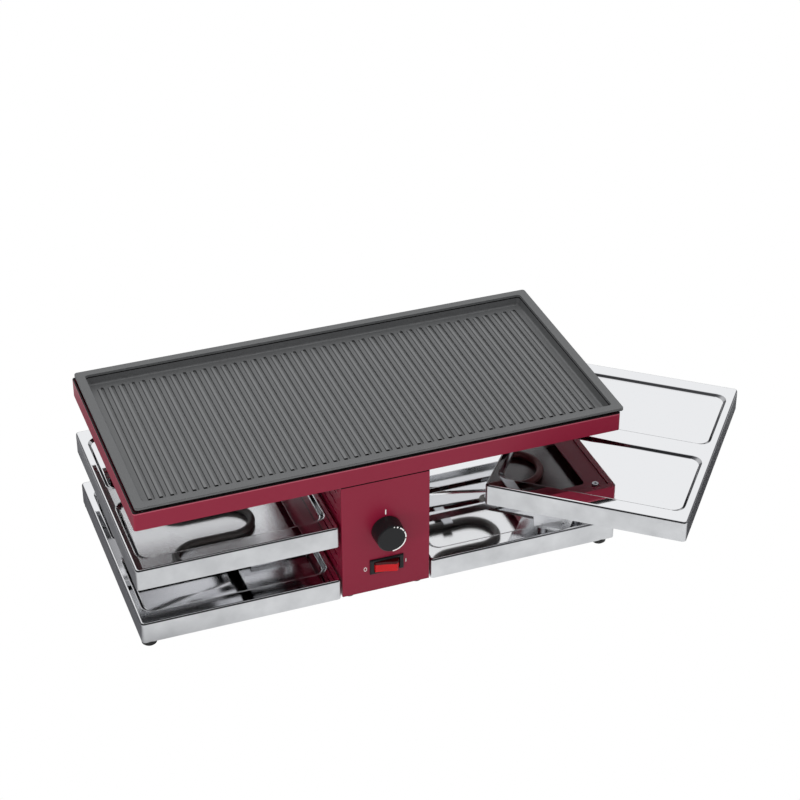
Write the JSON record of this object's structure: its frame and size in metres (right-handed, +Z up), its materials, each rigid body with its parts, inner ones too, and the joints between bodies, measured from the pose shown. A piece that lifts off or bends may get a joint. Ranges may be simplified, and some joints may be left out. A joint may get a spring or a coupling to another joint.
{
  "type": "raclette grill",
  "caption": "Table grill with a ribbed cast plate over a central column, two fixed lower trays and two upper trays that slide out and swing to the front.",
  "frame": {"origin": "on the table plane, under the middle of the column", "axes": "+X along the plate to the right, +Y to the back, +Z up"},
  "size_m": [0.6203, 0.3611, 0.1506],
  "materials": {
    "nonstick_cast": "matt non-stick coat on cast aluminium",
    "red_paint": "satin wine-red paint",
    "polished_steel": "polished top, satin sides",
    "heater_tube": "dull dark tube",
    "ceramic": "glazed",
    "black_plastic": "fine matt",
    "brass": "turned",
    "red_lens": "clear red lens",
    "rubber": "matt",
    "white_nylon": "plain",
    "wire_sleeve": "glass-fibre sleeve",
    "steel": "turned",
    "zinc_steel": "zinc plated"
  },
  "bodies": {
    "base": {"heater_housing": "red_paint", "housing_floor": "red_paint", "plate_seats": "zinc_steel", "heating_element_right": "heater_tube", "heating_element_left": "heater_tube", "element_strips": "zinc_steel", "element_saddles": "zinc_steel", "element_terminals": "ceramic", "housing_screws": "zinc_steel", "column_side_right": "red_paint", "column_side_left": "red_paint", "column_back": "red_paint", "column_front_panel": "red_paint", "column_screws": "zinc_steel", "base_plate": "zinc_steel", "base_screws": "zinc_steel", "thermostat_body": "black_plastic", "thermostat_bush": "brass", "switch_housing": "black_plastic", "terminal_block": "white_nylon", "cable_gland": "black_plastic", "internal_wiring": "wire_sleeve", "lower_tray_left": "polished_steel", "lower_tray_right": "polished_steel", "lower_tray_posts": "zinc_steel", "tray_feet": "rubber", "column_feet": "rubber", "tray_rail": "zinc_steel", "rail_angles": "zinc_steel", "rail_screws": "zinc_steel"},
    "plate": {"grill_plate": "nonstick_cast"},
    "knob": {"control_knob": "black_plastic", "thermostat_shaft": "steel"},
    "rocker": {"switch_rocker": "red_lens"},
    "carriage_left": {"glide_left": "white_nylon", "swivel_pin_left": "steel"},
    "tray_left": {"upper_tray_left": "polished_steel", "tray_floor_left": "zinc_steel", "tray_posts_left": "zinc_steel", "tray_screws_left": "zinc_steel", "tray_bracket_left": "zinc_steel", "bracket_screws_left": "zinc_steel", "guide_pin_left": "steel"},
    "carriage_right": {"glide_right": "white_nylon", "swivel_pin_right": "steel"},
    "tray_right": {"upper_tray_right": "polished_steel", "tray_floor_right": "zinc_steel", "tray_posts_right": "zinc_steel", "tray_screws_right": "zinc_steel", "tray_bracket_right": "zinc_steel", "bracket_screws_right": "zinc_steel", "guide_pin_right": "steel", "tray_spacers_right": "zinc_steel"}
  },
  "joints": [
    {"name": "plate_lift", "type": "slide", "parent": "base", "child": "plate", "axis": [0, 0, 1], "range_m": [0, 0.06]},
    {"name": "knob_turn", "type": "hinge", "parent": "base", "child": "knob", "pos_m": [0, -0.1175, 0.0726], "axis": [0, 1, 0], "range_deg": [-180, 0]},
    {"name": "rocker_press", "type": "hinge", "parent": "base", "child": "rocker", "pos_m": [0.0003, -0.1151, 0.0331], "axis": [0, 0, 1], "range_deg": [0, 28]},
    {"name": "tray_slide_left", "type": "slide", "parent": "base", "child": "carriage_left", "axis": [-0.9979, -0.065, 0], "range_m": [0, 0.13874]},
    {"name": "tray_swivel_left", "type": "hinge", "parent": "carriage_left", "child": "tray_left", "pos_m": [-0.01325, 0.01, 0.0625], "axis": [0, 0, 1], "range_deg": [0, 38.9]},
    {"name": "tray_slide_right", "type": "slide", "parent": "base", "child": "carriage_right", "axis": [0.9979, -0.065, 0], "range_m": [-0.13874, 0]},
    {"name": "tray_swivel_right", "type": "hinge", "parent": "carriage_right", "child": "tray_right", "pos_m": [0.1517, 0.00098, 0.0625], "axis": [0, 0, 1], "range_deg": [0, 38.9]}
  ],
  "couplings": [
    {"joint": "tray_swivel_left", "follows": "tray_slide_left", "rad_per_m": 4.8934},
    {"joint": "tray_swivel_right", "follows": "tray_slide_right", "rad_per_m": -4.8934}
  ]
}
